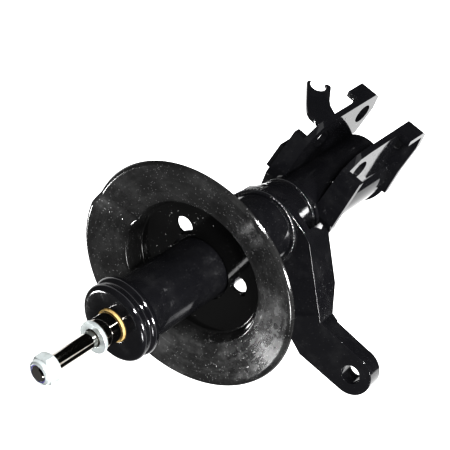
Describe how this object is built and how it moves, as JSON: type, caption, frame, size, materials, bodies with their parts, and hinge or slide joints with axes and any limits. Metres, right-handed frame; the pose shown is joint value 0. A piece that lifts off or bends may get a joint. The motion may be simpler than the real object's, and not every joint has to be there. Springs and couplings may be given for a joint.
{
  "type": "strut assembly",
  "caption": "Steel suspension strut: damper tube and rod, dished spring seat, steering arm, eared knuckle bracket, forked hose bracket and rod lock nut.",
  "frame": {"origin": "on the strut's axis at the spring seat's floor", "axes": "+Z along the strut towards the rod's threaded end; +X along the two ears of the knuckle bracket, away from the tube; +Y along the knuckle bolts"},
  "size_m": [0.1789, 0.2218, 0.3675],
  "materials": {
    "black_paint": "gloss black paint over steel, dusty",
    "cap_black": "semi-gloss black",
    "rod_chrome": "ground and hard-chromed",
    "zinc_plate": "bright zinc plate",
    "bare_steel": "oiled bare steel",
    "sintered_iron": "sintered, oiled",
    "bush_bronze": "bronze-backed lining",
    "black_rubber": "matt",
    "wiper_ring": "amber plastic",
    "nylon_ring": "violet-blue nylon",
    "ptfe_band": "filled PTFE"
  },
  "bodies": {
    "strut": {"strut_tube": "black_paint", "tube_base_cup": "black_paint", "pressure_tube": "bare_steel", "base_valve_body": "sintered_iron", "base_valve_disc": "bare_steel", "base_valve_rivet": "bare_steel", "rod_guide": "sintered_iron", "guide_bush": "bush_bronze", "oil_seal": "black_rubber", "rod_wiper": "wiper_ring", "bump_cap": "cap_black", "spring_seat": "black_paint", "seat_weld": "black_paint", "support_sleeve": "black_paint", "sleeve_weld": "black_paint", "steering_arm": "black_paint", "arm_weld": "black_paint", "knuckle_bracket": "black_paint", "bracket_upper_weld": "black_paint", "bracket_lower_weld": "black_paint", "hose_bracket": "black_paint", "hose_bracket_weld": "black_paint", "cable_bracket": "black_paint"},
    "band": {"piston_band": "ptfe_band"},
    "rod": {"piston_rod": "rod_chrome", "rod_washer": "zinc_plate", "lock_nut": "zinc_plate", "nut_nylon_ring": "nylon_ring", "piston": "sintered_iron", "intake_disc": "bare_steel", "rebound_discs": "bare_steel", "piston_nut": "bare_steel", "rebound_ring": "bare_steel", "rebound_bumper": "black_rubber"}
  },
  "joints": [
    {"name": "rod_slide", "type": "slide", "parent": "strut", "child": "band", "axis": [0, 0, 1], "range_m": [-0.012, 0.131]},
    {"name": "rod_spin", "type": "hinge", "parent": "band", "child": "rod", "pos_m": [0, 0, 0], "axis": [0, 0, 1], "continuous": true}
  ]
}
